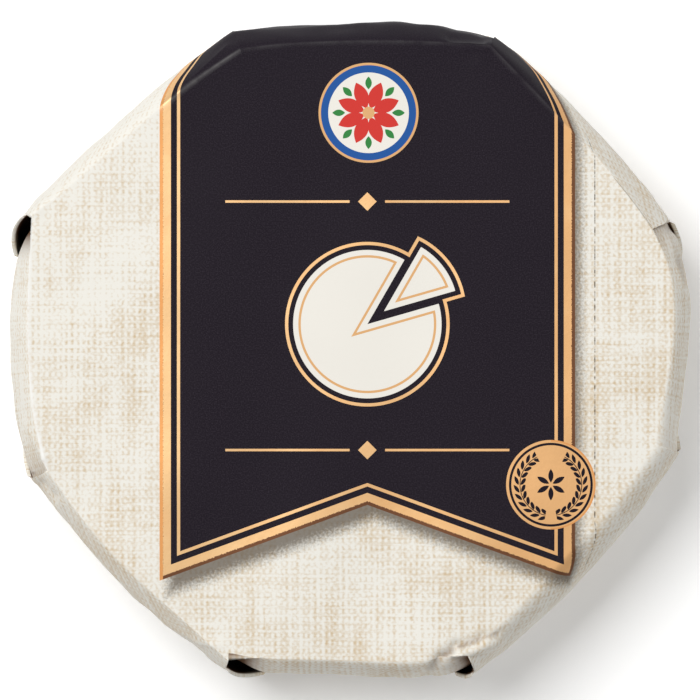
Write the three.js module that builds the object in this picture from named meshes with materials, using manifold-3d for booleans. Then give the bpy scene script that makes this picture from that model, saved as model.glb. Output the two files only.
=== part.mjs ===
// A small round of brie shut in its folded paper wrap, lying with the printed face up.
// Millimetres. +Z is up, +Y points to the top of the printed face, +X to its right,
// and the origin is the middle of the underside.
import * as THREE from "three";
import { LoftGeometry } from "three/addons/geometries/LoftGeometry.js";
import { mergeVertices } from "three/addons/utils/BufferGeometryUtils.js";
import Module from "manifold-3d";

// Driving dimensions of the wrapped round.
const HEIGHT = 24; // underside to the middle of the top face
const WAIST_HEIGHT = 11.5; // where the soft side stands out furthest
const CROWN = 0.4; // how far the middle of the top face stands above its rim
const FOOT_INSET = 3.6; // how far the rim of the underside lies inside the waist

// The eight corners of the waist, anticlockwise from the right-hand side's upper end.
// Panels with an even number hold a corner of the paper sheet and lap over the odd ones.
// tuck  how far the lapped panel is pushed in beside the corner, over the length span
// start depth down the side at which the lapping flap begins
// lift  how far the flap's free edge stands off the lapped panel
const CORNERS = [
  { x: 39.9, y: 16.0, tuck: 1.3, span: 6, start: 8, lift: 0.3 },
  { x: 18.0, y: 39.0, tuck: 1.0, span: 6, start: 8, lift: 0.3 },
  { x: -14.5, y: 39.75, tuck: 0.8, span: 4, start: 8, lift: 0.3 },
  { x: -40.5, y: 17.0, tuck: 2.2, span: 7, start: 1, lift: 1.2 },
  { x: -39.7, y: -16.0, tuck: 0.8, span: 5, start: 8, lift: 0.3 },
  { x: -15.6, y: -39.8, tuck: 2.0, span: 6.5, start: 2.5, lift: 0.9 },
  { x: 15.6, y: -40.2, tuck: 1.6, span: 6, start: 6, lift: 0.4 },
  { x: 40.9, y: -12.8, tuck: 0.8, span: 4, start: 8, lift: 0.3 },
];

// The eight panels: panel n runs from corner n to corner n + 1.
// bulge    how far the middle stands outside the straight line between the corners
// skew     above 1, the fullest place moves towards the panel's far end
// shoulder how far the rim of the top face lies inside the waist
const PANELS = [
  { bulge: 1.15, skew: 1, shoulder: 2.6 },
  { bulge: 1.4, skew: 0.8, shoulder: 2.4 },
  { bulge: 1.05, skew: 1, shoulder: 2.3 },
  { bulge: 2.2, skew: 1, shoulder: 2.4 },
  { bulge: 1.5, skew: 1, shoulder: 2.2 },
  { bulge: 0.65, skew: 1.3, shoulder: 2.2 },
  { bulge: 1.8, skew: 1, shoulder: 3.4 },
  { bulge: 2.2, skew: 1.6, shoulder: 2.2 },
];

// The folded flaps of paper.
const FLAP_THICKNESS = 0.5; // two layers of paper and the air between them
const FLAP_SLOPE = Math.tan(Math.PI / 8); // the fold of a pleat that takes up 45 degrees
const FLAP_LONGEST = 11;
const FLAP_SHORTEST = 0.4; // a flap narrower than this is left out
const FLAP_ROOT = 1.2; // how far a flap is sunk into the panel that it belongs to
const FLAP_FLOOR = 0.3; // height at which the flaps end, turned under
const FLAP_SINK = 1; // how far a flap is pressed into the lapped panel at the foot

// The four sheet corners that are folded over each other on the underside.
const LAP_OVER = 5; // how far each folded corner reaches past the middle
const LAP_RISE = 0.5; // step at the outer end of each lap
const LAP_REACH = 60; // more than the underside's half width
const LAP_CLEAR = 1; // how far the cutting wedges stand out below the underside

// Fineness of the surface.
const UPPER_LEVELS = 8;
const LOWER_LEVELS = 7;
const TOP_RINGS = [0.9, 0.62, 0.3, 0.05];
const LAPPING_STEPS = 7;
const LAPPED_STEPS = 12;
const FLAP_STEPS = 6;
const MERGE = 1e-4; // vertices closer than this are one

const PAPER_COLOUR = 0xece4d6;
const COUNT = CORNERS.length;
const RIM_HEIGHT = HEIGHT - CROWN;

const wasm = await Module();
wasm.setup();

const corner = (index) => CORNERS[(index + COUNT) % COUNT];
const panel = (index) => PANELS[(index + COUNT) % COUNT];
const isLapped = (index) => index % 2 !== 0;

// The outward direction of a panel, square to the line between its corners.
function outward(index) {
  const from = corner(index);
  const to = corner(index + 1);
  return new THREE.Vector2(to.y - from.y, from.x - to.x).normalize();
}

// How far a corner lies inside the waist at a level.
function cornerInset(index, level) {
  if (!level.upper) return level.share * FOOT_INSET;
  return (level.share * (panel(index - 1).shoulder + panel(index).shoulder)) / 2;
}

// A corner moved in along the line that halves it, so that its two panels move in alike.
function cornerAt(index, level) {
  const before = outward(index - 1);
  const bisector = before.clone().add(outward(index)).normalize();
  const move = cornerInset(index, level) / bisector.dot(before);
  return new THREE.Vector2(corner(index).x, corner(index).y).addScaledVector(bisector, -move);
}

// How far a lapped panel is pushed in at a distance along it from one of its corners.
function tuckAt(index, distance, level) {
  const { tuck, span } = corner(index);
  const share = Math.max(0, 1 - distance / span);
  return tuck * share * share * (1 - level.share);
}

// A point of a panel at a level, part of the way from its first corner to its second.
function panelPoint(index, part, level) {
  const from = cornerAt(index, level);
  const to = cornerAt(index + 1, level);
  const length = from.distanceTo(to);
  const { bulge, skew, shoulder } = panel(index);
  const skewed = Math.pow(part, skew);
  let out = bulge * 4 * skewed * (1 - skewed);
  if (level.upper) {
    const mean = THREE.MathUtils.lerp(cornerInset(index, level), cornerInset(index + 1, level), part);
    out -= (level.share * shoulder - mean) * 4 * part * (1 - part);
  }
  if (isLapped(index)) {
    out -= tuckAt(index, part * length, level);
    out -= tuckAt(index + 1, (1 - part) * length, level);
  }
  return from.lerp(to, part).addScaledVector(outward(index), out);
}

// The levels of the side from the foot to the rim: share is 0 at the waist and 1 at the
// rim and foot, and depth is the length of paper from the rim down to the level.
function sideLevels() {
  const levels = [];
  for (let step = 0; step < LOWER_LEVELS; step++) {
    const angle = (step / LOWER_LEVELS) * (Math.PI / 2);
    levels.push({ upper: false, share: 1 - Math.sin(angle), z: WAIST_HEIGHT * (1 - Math.cos(angle)) });
  }
  for (let step = UPPER_LEVELS; step >= 0; step--) {
    const angle = (step / UPPER_LEVELS) * (Math.PI / 2);
    const z = WAIST_HEIGHT + (RIM_HEIGHT - WAIST_HEIGHT) * Math.cos(angle);
    levels.push({ upper: true, share: 1 - Math.sin(angle), z });
  }
  for (const level of levels) level.depth = RIM_HEIGHT - level.z + (level.upper ? 0 : level.share * FOOT_INSET);
  return levels;
}

// The closed outline of the round at a level. It starts in the middle of a panel, where
// its first and last points stay apart at every level.
function outlineAt(level) {
  const points = [];
  for (let index = 0; index < COUNT; index++) {
    const steps = isLapped(index) ? LAPPED_STEPS : LAPPING_STEPS;
    for (let step = 0; step <= steps; step++) {
      const part = (1 - Math.cos((Math.PI * step) / steps)) / 2;
      const point = panelPoint(index, part, level);
      points.push(new THREE.Vector3(point.x, point.y, level.z));
    }
  }
  const seam = Math.floor(LAPPING_STEPS / 2);
  return [...points.slice(seam), ...points.slice(0, seam)];
}

// The round itself: its side, its rolled edges and its slightly crowned top face.
function roundGeometry(levels) {
  const sections = levels.map(outlineAt);
  const rim = sections[sections.length - 1];
  for (const ring of TOP_RINGS) {
    const z = RIM_HEIGHT + CROWN * (1 - ring * ring);
    sections.push(rim.map((point) => new THREE.Vector3(point.x * ring, point.y * ring, z)));
  }
  return new LoftGeometry(sections, { capStart: true, capEnd: true });
}

// One flap: the pleat of the even panel at a corner, laid over the odd panel beside it.
function flapGeometry(index, levels) {
  const forward = !isLapped(index - 1); // the flap runs anticlockwise from the corner
  const lapped = forward ? index : index - 1;
  const owner = forward ? index - 1 : index;
  const { start, lift } = corner(index);
  const sections = [];
  for (const level of levels) {
    const width = Math.min((level.depth - start) * FLAP_SLOPE, FLAP_LONGEST);
    if (width < FLAP_SHORTEST || level.z < FLAP_FLOOR) continue;
    const length = cornerAt(lapped, level).distanceTo(cornerAt(lapped + 1, level));
    const rootHeight = tuckAt(index, 0, level);
    const pressed = level.upper ? 0 : level.share;
    const thickness = FLAP_THICKNESS + pressed * FLAP_SINK;
    const ownerLength = cornerAt(owner, level).distanceTo(cornerAt(owner + 1, level));
    const back = FLAP_ROOT / ownerLength;
    const root = panelPoint(owner, forward ? 1 - back : back, level);
    const outer = [root.clone().addScaledVector(outward(owner), -FLAP_ROOT / 2)];
    const inner = [root.clone().addScaledVector(outward(owner), -FLAP_ROOT)];
    for (let step = 0; step <= FLAP_STEPS; step++) {
      const along = step / FLAP_STEPS;
      const part = (along * width) / length;
      const under = panelPoint(lapped, forward ? part : 1 - part, level);
      const free = lift * (1 - pressed);
      const height = THREE.MathUtils.lerp(rootHeight, free, along * (2 - along)) + FLAP_THICKNESS * along;
      outer.push(under.clone().addScaledVector(outward(lapped), height));
      inner.push(under.clone().addScaledVector(outward(lapped), height - thickness));
    }
    const loop = forward ? [...outer, ...inner.reverse()] : [...outer.reverse(), ...inner];
    sections.push(loop.map((point) => new THREE.Vector3(point.x, point.y, level.z)));
  }
  return new LoftGeometry(sections, { capStart: true, capEnd: true });
}

// A thin wedge that, cut away, leaves one folded sheet corner sloping down to its free edge.
function lapWedgeGeometry(quarter) {
  const section = new THREE.Shape([
    new THREE.Vector2(-LAP_OVER, -LAP_CLEAR),
    new THREE.Vector2(LAP_REACH, -LAP_CLEAR),
    new THREE.Vector2(LAP_REACH, LAP_RISE),
    new THREE.Vector2(-LAP_OVER, 0),
  ]);
  const wedge = new THREE.ExtrudeGeometry(section, { depth: LAP_REACH, bevelEnabled: false });
  wedge.rotateX(Math.PI / 2).translate(0, LAP_REACH + LAP_OVER, 0);
  return wedge.rotateZ((quarter * Math.PI) / 2);
}

// A closed geometry as a solid, with its shared vertices merged and collapsed faces dropped.
function toSolid(geometry) {
  const bare = new THREE.BufferGeometry();
  bare.setAttribute("position", geometry.getAttribute("position"));
  bare.setIndex(geometry.getIndex());
  const merged = mergeVertices(bare, MERGE);
  const faces = merged.index.array;
  const kept = [];
  for (let first = 0; first < faces.length; first += 3) {
    const face = [faces[first], faces[first + 1], faces[first + 2]];
    if (new Set(face).size === face.length) kept.push(...face);
  }
  const mesh = new wasm.Mesh({
    numProp: 3,
    vertProperties: new Float32Array(merged.attributes.position.array),
    triVerts: new Uint32Array(kept),
  });
  return new wasm.Manifold(mesh);
}

// The solid as a geometry whose origin is the middle of its underside.
function toGeometry(solid) {
  const mesh = solid.getMesh();
  const geometry = new THREE.BufferGeometry();
  geometry.setAttribute("position", new THREE.BufferAttribute(mesh.vertProperties, mesh.numProp));
  geometry.setIndex(new THREE.BufferAttribute(mesh.triVerts, 1));
  geometry.computeBoundingBox();
  const middle = geometry.boundingBox.getCenter(new THREE.Vector3());
  geometry.translate(-middle.x, -middle.y, -geometry.boundingBox.min.z);
  geometry.computeVertexNormals();
  return geometry;
}

function wrappedRound() {
  const levels = sideLevels();
  let solid = toSolid(roundGeometry(levels));
  for (let index = 0; index < COUNT; index++) solid = solid.add(toSolid(flapGeometry(index, levels)));
  for (let quarter = 0; quarter < 4; quarter++) solid = solid.subtract(toSolid(lapWedgeGeometry(quarter)));
  const paper = new THREE.MeshStandardMaterial({ color: PAPER_COLOUR, roughness: 0.6, metalness: 0 });
  const mesh = new THREE.Mesh(toGeometry(solid), paper);
  mesh.name = "wrapped_round";
  return mesh;
}

const group = new THREE.Group();
group.add(wrappedRound());

export default group;
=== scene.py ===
"""A small round of brie shut in its printed paper wrap, seen from above.

The wrap is one sheet of coated paper. It is modelled as a fine skin over the round, with the pleated flaps
that lap over its side panels, and it carries a map of the flat sheet, so that the print follows the folds.
Tables and shape functions are in millimetres; finished meshes are in metres.
"""

import math
from collections import namedtuple

import bpy
import numpy as np
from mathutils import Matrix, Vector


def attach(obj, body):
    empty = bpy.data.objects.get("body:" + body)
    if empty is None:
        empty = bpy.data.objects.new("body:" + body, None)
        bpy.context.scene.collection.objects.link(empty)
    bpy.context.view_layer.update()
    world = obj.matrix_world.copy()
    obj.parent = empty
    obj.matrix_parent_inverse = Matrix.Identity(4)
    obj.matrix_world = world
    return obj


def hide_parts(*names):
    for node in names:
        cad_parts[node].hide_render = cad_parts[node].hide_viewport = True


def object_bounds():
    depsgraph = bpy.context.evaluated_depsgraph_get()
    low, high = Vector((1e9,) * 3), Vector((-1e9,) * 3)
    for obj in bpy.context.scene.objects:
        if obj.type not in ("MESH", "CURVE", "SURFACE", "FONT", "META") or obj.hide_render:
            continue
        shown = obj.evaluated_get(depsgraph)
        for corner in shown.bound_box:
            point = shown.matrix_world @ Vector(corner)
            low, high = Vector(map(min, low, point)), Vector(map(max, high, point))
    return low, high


bl_info = {
    "name": "Paper-wrapped brie",
    "version": (1, 0, 0),
    "blender": (4, 5, 0),
    "location": "View3D > Sidebar > Brie",
    "description": "Makes a small round of brie in its folded, printed paper wrap",
    "category": "Object",
}

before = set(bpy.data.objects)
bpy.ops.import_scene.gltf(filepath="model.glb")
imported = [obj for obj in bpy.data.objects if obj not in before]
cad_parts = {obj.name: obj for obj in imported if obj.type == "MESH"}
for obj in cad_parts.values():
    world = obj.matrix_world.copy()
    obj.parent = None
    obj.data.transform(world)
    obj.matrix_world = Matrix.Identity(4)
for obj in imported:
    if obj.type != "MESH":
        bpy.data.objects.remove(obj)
CAD_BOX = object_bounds()

MM = 0.001
NODE = "wrapped_round"
BODY = "root"
SHEET_MAP = "sheet"
WEAR_AND_HIGHLIGHT = "worn"
PAINTED_SHADE = "painted_shade"
MERGE = 0.002
WORN_WIDTH = 0.25  # of the white line along a fold: rubbed wear and a painted highlight
FULL_SHADE_TUCK = 1.5  # how far in a pushed-in panel is when its painted shade is darkest
TUCK_FADE = 6  # how late below the rim a pushed-in panel comes back out
SHADE_FADE = 4  # how fast the painted shade of a hollow fades down the side
LIP_FADE = 5  # how near its lip the painted shade inside a flap fades out
TIP_CLOSE = 3  # how near its tip a lifted flap comes back to its panel
TIP_LIGHT = 0.85  # how much the painted shade inside a flap fades at its tip
WAVE_COUNT = 9
WAVE_SPREAD = (0.7, 1.5)  # lengths of single waves, as shares of the length asked for
WAVE_LENGTH = 16.0
CRUMPLE_LENGTH = 5.0
WAVE_FADE = 6.0
SOFT_DEPTH = 9.0
FACET_DEPTH = 4.8
FACET_ROUND = 0.15
SHEET_SPAN = 240.0  # millimetres of flat sheet that the map's 0 to 1 stands for
ROUND_HEIGHT = (CAD_BOX[1].z - CAD_BOX[0].z) / MM

# The corners of the waist, anticlockwise from the right-hand side's upper end. Even panels hold a corner
# of the sheet and lap over the odd ones: tuck is how far the lapped panel is pushed in beside the corner
# over the length span, start is the depth at which the lapping flap begins, slope is how fast it gets
# longer below that, longest is its greatest length, lift is how far it stands off, and lean is how much of
# its panels' lean the corner follows.
FOLDED = math.tan(math.pi / 8)  # slope of a flap that is folded flat
Corner = namedtuple("Corner", "x y tuck span start slope longest lift lean")
CORNERS = (
    Corner(39.9, 16.0, 0.35, 6.0, 8.0, FOLDED, 11.0, 0.05, 1.0),
    Corner(18.0, 39.0, 0.0, 6.0, 16.0, FOLDED, 11.0, 0.0, 0.5),
    Corner(-14.5, 39.75, 0.0, 4.0, 16.0, FOLDED, 11.0, 0.0, 1.0),
    Corner(-40.5, 17.0, 2.4, 6.5, 3.4, 0.7, 5.2, 0.75, 0.4),
    Corner(-39.7, -16.0, 0.3, 5.0, 8.0, FOLDED, 11.0, 0.05, 1.0),
    Corner(-15.6, -39.8, 2.4, 6.0, 3.8, 0.72, 5.0, 0.55, 0.6),
    Corner(15.6, -40.2, 1.2, 4.4, 5.0, FOLDED, 2.4, 0.3, 0.8),
    Corner(40.9, -12.8, 0.1, 4.0, 12.0, FOLDED, 11.0, 0.0, 1.0),
)
COUNT = len(CORNERS)

# The side panels, panel n from corner n to corner n + 1: bulge is how far the middle stands out, a skew
# above 1 moves the fullest place to the far end, and shoulder is how far the rim lies inside the waist.
# The side goes from soft and round to flat below a sharp rim as crisp, at the first corner, and far_crisp,
# at the second, go from 0 to 1. Wear_and_highlight is how white the fold along the rim is made, by rubbed
# wear and a painted highlight.
Panel = namedtuple("Panel", "bulge skew shoulder crisp far_crisp worn")
PANELS = (
    Panel(1.15, 1.0, 2.4, 0.95, 0.2, 0.03),
    Panel(1.4, 0.8, 2.5, 0.5, 0.5, 0.03),
    Panel(1.05, 1.0, 2.5, 0.3, 0.1, 0.1),
    Panel(2.2, 1.0, 2.4, 0.5, 0.7, 1.0),
    Panel(1.5, 1.0, 2.2, 0.75, 0.5, 0.15),
    Panel(0.65, 1.3, 2.2, 0.5, 0.1, 0.0),
    Panel(1.8, 1.0, 3.6, 0.2, 0.0, 0.0),
    Panel(2.2, 1.6, 2.4, 0.0, 0.9, 0.0),
)

# Folds pressed into the paper round the rim, seen from above: a line from one place to another, how wide
# the fold is and how far it stands out of the skin, or in where it is below 0.
Fold = namedtuple("Fold", "x y end_x end_y width height")
CREASES = (
    Fold(-15.2, 37.7, -20.9, 32.2, 0.35, 0.22),
    Fold(-39.9, -9.4, -37.9, -13.4, 0.35, 0.2),
    Fold(-37.9, -13.4, -37.1, -17.4, 0.35, 0.22),
    Fold(-37.1, -17.4, -35.8, -19.1, 0.35, 0.18),
    Fold(-23.1, -33.8, -18.7, -36.3, 0.35, 0.25),
    Fold(-18.7, -36.3, -15.9, -36.7, 0.35, 0.25),
    Fold(12.8, -38.5, 16.2, -38.1, 0.3, -0.3),
    Fold(39.3, 14.9, 41.2, 7.7, 0.35, 0.22),
    Fold(14.1, 37.5, 16.9, 37.4, 0.35, 0.2),
    Fold(40.9, 9.9, 42.6, 9.2, 0.2, 0.15),
    Fold(41.0, 9.0, 42.7, 8.1, 0.2, 0.15),
    Fold(41.2, 8.1, 42.7, 7.0, 0.2, 0.12),
)
DENTS = (
    Fold(12.6, 39.1, 16.3, 38.9, 0.7, -0.5),
    Fold(16.1, 35.6, 22.6, 31.4, 0.9, 0.2),
    Fold(9.6, -40.2, 11.3, -38.2, 0.7, -0.6),
    Fold(11.3, -38.2, 13.2, -36.8, 0.7, -0.6),
    Fold(13.2, -36.8, 16.3, -35.7, 0.5, -0.45),
    Fold(16.3, -35.7, 18.6, -35.2, 0.4, -0.3),
    Fold(14.6, -37.3, 18.2, -36.4, 0.7, 0.5),
    Fold(-38.3, -16.8, -36.9, -18.2, 0.7, -0.5),
    Fold(41.2, 11.2, 42.2, 8.3, 0.9, -0.7),
    Fold(40.1, 15.9, 39.9, 15.0, 0.6, -0.5),
    Fold(-39.2, 17.6, -38.6, 18.4, 1.1, 0.25),
    Fold(-24.5, -35.0, -19.0, -37.6, 0.9, -0.35),
)

# Hollows that the light hardly reaches, given painted shade, as folds whose height is how dark the painted
# shade is.
SHADES = (
    Fold(41.6, 11.0, 42.3, 8.6, 0.8, 0.4),
    Fold(9.9, -40.0, 10.9, -38.8, 0.5, 0.25),
    Fold(11.5, -38.1, 12.6, -37.3, 0.45, 0.35),
    Fold(13.5, -36.8, 16.0, -35.9, 0.3, 0.35),
    Fold(16.6, -35.7, 18.4, -35.3, 0.2, 0.3),
    Fold(-39.9, -15.2, -39.3, -15.3, 0.2, 0.6),
)

# Fineness of the skin.
UPPER_STEPS = 40
LOWER_STEPS = 24
TOP_RINGS = 64
TOP_CROWDING = 1.25  # above 1 the rings of the top face lie closer together at the rim
BASE_RINGS = 10
LAPPING_STEPS = 60
LAPPED_STEPS = 68
FLAP_STEPS = 16

# The flaps and the folds of the underside.
FLAP_SHORTEST = 0.25
FLAP_FLOOR = 0.15
TIP_ROUND = 0.4  # of the last step along a flap, how far its rounded edge stands out
LAP_OVER = 5.0
LAP_REACH = 60.0
LAP_CLEAR = 1.0

# The print on the flat sheet, measured from the middle of the top face.
PALE_FROM = 25.0  # painted highlight: how far to the upper left the linen starts to get paler, and where it is palest
PALE_TO = 65.0
PALE_BY = 0.3
ROW_SHARE = 0.7  # spacing of the rows of thread, as a share of the spacing of the columns
THREAD_BEND = 0.6  # how far a thread wanders
THREAD_BEND_SCALE = 0.5
THREAD_GROUND = -0.82  # how much of the ground stays free of thread
COLUMN_WEIGHT = 0.14
KNOT_WEIGHT = 0.2
ROW_WEIGHT = -0.14
THREAD_MOST = 0.95
EVEN_NOISE = (0.3, 0.7)  # the middle of the noise, which is spread over 0 to 1
TAIL_SLOPE = 0.365
EDGE_WIDTH = 0.42
EDGE_RAGGED = 0.2
SHADE_RIGHT = 0.9
SHADE_DOWN = 1.9
SHADE_GRAIN = 1.1
SHADE_FROM = -0.7
SHADE_TO = 1.5
SHADE_DEPTH = 0.85
STITCH_PLACE = 30.35  # a fine broken line beside the banner's shade
STITCH_WIDTH = 0.14
STITCH_UP = 28.0
WHEEL_PLACE = (2.15, 3.2)
WHEEL_RADIUS = 9.2
SLICE_HEADING = math.radians(38)
SLICE_HALF = math.radians(22)
SLICE_OUT = 2.6
OUTLINE_OUT = 0.8
RIND_IN = 0.8
RULES_UP = (18.4, -12.4)
RULE_MIDDLE = 9.9
RULE_HALF = 7.7
RULE_THICKNESS = 0.3
LOZENGE_HALF = 1.15
ROSETTE_PLACE = (2.3, 29.4)
ROSETTE_RADIUS = 6.2
ROSETTE_DISC = 5.0
ROSETTE_PETAL = (1.75, 0.85)
ROSETTE_MIDDLE = 2.3
ROSETTE_LEAF = (0.8, 0.4)
ROSETTE_LEAVES = 3.7
ROSETTE_COUNT = 8
ROSETTE_HEART = 0.75
SEAL_PLACE = (24.9, -16.7)
SEAL_RING = 0.91
SEAL_PETAL = (0.85, 0.32)
WREATH_MIDDLE = math.radians(-8)
WREATH_HALF = math.radians(72)
WREATH_LEAF = (0.62, 0.22)
WREATH_COUNT = 26
WREATH_ROWS = ((0.77, math.radians(60)), (0.62, math.radians(118)))  # radius share and tilt of the leaves
WREATH_STEM = 0.69
STEM_HALF = 0.05
SEAL_PETALS = 6
SEAL_FLOWER = 0.2
CRINKLE_HEIGHT = 0.06
CRINKLE_STRENGTH = 0.3
CRINKLE_CELLS = 0.9  # cells of noise a millimetre, here and below
RUBBED_CELLS = 0.35
SHADE_CELLS = 3.5
BLACK_SPECK = 6.0
EDGE_GRAIN = 6.0
GOLD_SPECK = 5.0
GOLD_PATCH = 1 / 6
GOLD_LEAN = 0.5  # how much paler the gold is at the left edge than in the middle
SPECK_NOISE = (0.55, 0.8)
SPECK_DEPTH = 0.3
FULL_PAINTED_SHADE = 0.6  # how much painted shade a place needs to take all of the painted hollow shade colour
SHEEN = 0.01
PAPER_ROUGH = 0.5
BLACK_ROUGH = 0.42
GOLD_METAL = 0.25

# The stage, in metres, and its camera.
KEY_PLACE = (-0.465, 0.405, 1.37)
KEY_SIZE = 0.7
FILL_PLACE = (0.6, 0.1, 0.79)
FILL_SIZE = 0.5
FLOOR_SIZE = 8.0
FLOOR_ROUGH = 0.9
LENS = 600
SENSOR = 36


def linear(colour):
    """An sRGB hex colour as linear red, green, blue and alpha."""
    parts = [int(colour[place:place + 2], 16) / 255 for place in (1, 3, 5)]
    return [p / 12.92 if p <= 0.04045 else ((p + 0.055) / 1.055) ** 2.4 for p in parts] + [1.0]


def colour_property(name, description, default):
    """A colour that the user can change, given as an sRGB hex value."""
    return bpy.props.FloatVectorProperty(
        name=name,
        description=description,
        default=linear(default)[:3],
        size=3,
        subtype="COLOR",
        min=0,
        max=1,
    )


def length_property(name, description, millimetres):
    """A length that the user can change, kept in metres."""
    return bpy.props.FloatProperty(
        name=name,
        description=description,
        default=millimetres * MM,
        unit="LENGTH",
        subtype="DISTANCE",
        precision=5,
    )


def strength_property(name, description, default, unit="NONE"):
    """A power or strength of light that the user can change."""
    return bpy.props.FloatProperty(name=name, description=description, default=default, unit=unit)


class WrapSizes(bpy.types.PropertyGroup):
    """Sizes of the wrapped round and its folds."""

    height: length_property("Height", "Underside to the middle of the top face", ROUND_HEIGHT)
    waist: length_property("Waist height", "Where the soft side stands out furthest", 11.5)
    crown: length_property("Crown", "How far the middle of the top face stands above its rim", 0.4)
    foot: length_property("Foot inset", "How far the underside's rim lies inside the waist", 3.6)
    flap: length_property("Flap thickness", "Two layers of paper and the air between them", 0.45)
    lap_rise: length_property("Lap step", "Step at the outer end of each fold of the underside", 0.5)
    ripple: length_property("Ripple", "Height of the loose paper's broad waves", 0.14)
    crumple: length_property("Crumple", "Height of the small waves of the sides", 0.06)


class PrintSizes(bpy.types.PropertyGroup):
    """Sizes of the print on the flat sheet."""

    thread: length_property("Thread spacing", "Spacing of the printed linen threads across the sheet", 0.7)
    banner_width: length_property("Banner width", "Width of the swallow-tailed banner", 51.5)
    banner_middle: length_property("Banner middle", "Where the banner's middle lies across the sheet", 2.15)
    notch: length_property("Notch", "Where the banner's notch ends, up the sheet", -19.2)
    band: length_property("Gold band", "Width of the banner's gold band", 1.4)
    gap: length_property("Black gap", "Width between the gold band and the gold line", 0.75)
    line: length_property("Gold line", "Width of the thin gold line", 0.4)
    seal: length_property("Seal radius", "Radius of the gold seal", 5.55)


class PrintColours(bpy.types.PropertyGroup):
    """Colours of the print."""

    paper: colour_property("Paper", "Ground of the linen print", "#F4F1E8")
    thread: colour_property("Thread", "Threads of the linen print", "#D5BD98")
    black: colour_property("Black", "Field of the banner", "#252027")
    gold: colour_property("Gold", "Gold ink, to the right", "#E6B37C")
    light_gold: colour_property("Light gold", "Gold ink where it catches the light, to the left", "#EBC18D")
    ivory: colour_property("Ivory", "Light shapes on the banner", "#F3EFE6")
    brown: colour_property("Brown", "Shaded edge of the gold", "#714C36")
    orange: colour_property("Orange", "Left edge of the gold", "#E3A062")
    red: colour_property("Red", "Petals of the rosette", "#D8423C")
    blue: colour_property("Blue", "Ring of the rosette", "#2F5DA3")
    green: colour_property("Green", "Leaves of the rosette", "#3F8A4A")
    # Painted shade: a brown laid in the open pleats and hollows, where the light hardly reaches.
    painted_hollow_shade: colour_property("Hollow", "Inside of the open pleats", "#745742")
    # Rubbed wear and a painted highlight along the rim folds.
    lit_and_rubbed: colour_property("Rubbed", "Fold that is rubbed white", "#FBFAF6")
    black_speck: colour_property("Black speck", "Specks in the banner's black", "#413B43")
    shade: colour_property("Shade", "Shade beside the banner", "#665B4E")


class StageLook(bpy.types.PropertyGroup):
    """Floor, light and camera."""

    floor: colour_property("Floor", "Colour of the floor", "#FAFAFA")
    key: strength_property("Key light", "Power of the key light", 18.2, "POWER")
    fill: strength_property("Fill light", "Power of the fill light", 1.3, "POWER")
    sky: strength_property("Ambient", "Strength of the light from all round", 0.16)
    glow: strength_property("Floor glow", "Strength of the light from the floor", 0.2)
    width: length_property("View width", "Width of the view at the round's waist", 87.5)


def millimetres(length):
    """A property's length in millimetres."""
    return length / MM


def add(tree, kind, links=None, **settings):
    """Adds a shader node with its settings and links; a link's key counts the used sockets or names one."""
    node = tree.nodes.new("ShaderNode" + kind)
    for name, value in settings.items():
        setattr(node, name, value)
    in_use = [socket for socket in node.inputs if socket.enabled]
    for key, value in (links or {}).items():
        socket = node.inputs[key] if isinstance(key, str) else in_use[key]
        if isinstance(value, bpy.types.Node):
            value = next(output for output in value.outputs if output.enabled)
        if isinstance(value, bpy.types.NodeSocket):
            tree.links.new(value, socket)
        else:
            socket.default_value = value
    return node


# The shape of the round.
Levels = namedtuple("Levels", "soft flat z upper depth")


def outward(index):
    """The outward direction of a panel, square to the line between its corners."""
    start = CORNERS[index % COUNT]
    end = CORNERS[(index + 1) % COUNT]
    across = np.array([end.y - start.y, start.x - end.x])
    return across / np.linalg.norm(across)


def side_levels(sizes):
    """The side from the foot to the rim. Soft and flat are the shares, 0 at the waist and 1 at the rim and
    the foot, by which a round and a flat side lean in, and depth is the length of paper below the rim."""
    waist = millimetres(sizes.waist)
    rim = millimetres(sizes.height - sizes.crown)
    lower = np.linspace(0, math.pi / 2, LOWER_STEPS, endpoint=False)
    upper = np.linspace(math.pi / 2, 0, UPPER_STEPS + 1)
    z = np.concatenate([waist * (1 - np.cos(lower)), waist + (rim - waist) * np.cos(upper)])
    above = np.clip(1 + (z - rim) / SOFT_DEPTH, 0, 1)
    foot = np.concatenate([1 - np.sin(lower), np.zeros(len(upper))])
    soft = foot + 1 - np.sqrt(1 - above ** 2)
    slope = 1 + (z - rim) / FACET_DEPTH
    flat = foot + (slope + np.hypot(slope, FACET_ROUND)) / (1 + math.hypot(1, FACET_ROUND))
    is_upper = np.concatenate([np.zeros(len(lower), bool), np.ones(len(upper), bool)])
    shoulder = np.mean([panel.shoulder for panel in PANELS])
    inset = soft * np.where(is_upper, shoulder, millimetres(sizes.foot))
    steps = np.hypot(np.diff(inset), np.diff(z))
    depth = np.concatenate([np.cumsum(steps[::-1])[::-1], [0.0]])
    return Levels(soft, flat, z, is_upper, depth)


def panel_inset(sizes, index, levels, parts):
    """How far a panel leans in from the waist at each level, at parts of its length."""
    panel = PANELS[index % COUNT]
    crisp = panel.crisp + (panel.far_crisp - panel.crisp) * parts
    share = levels.soft[:, None] + (levels.flat - levels.soft)[:, None] * crisp
    return share * np.where(levels.upper, panel.shoulder, millimetres(sizes.foot))[:, None]


def corner_inset(sizes, index, levels):
    """How far a corner leans in at each level: above the waist, by its lean of its two panels' mean."""
    lean = np.where(levels.upper, CORNERS[index % COUNT].lean, 1)[:, None]
    before = panel_inset(sizes, index - 1, levels, np.ones(1))
    return lean * (before + panel_inset(sizes, index, levels, np.zeros(1))) / 2


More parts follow.
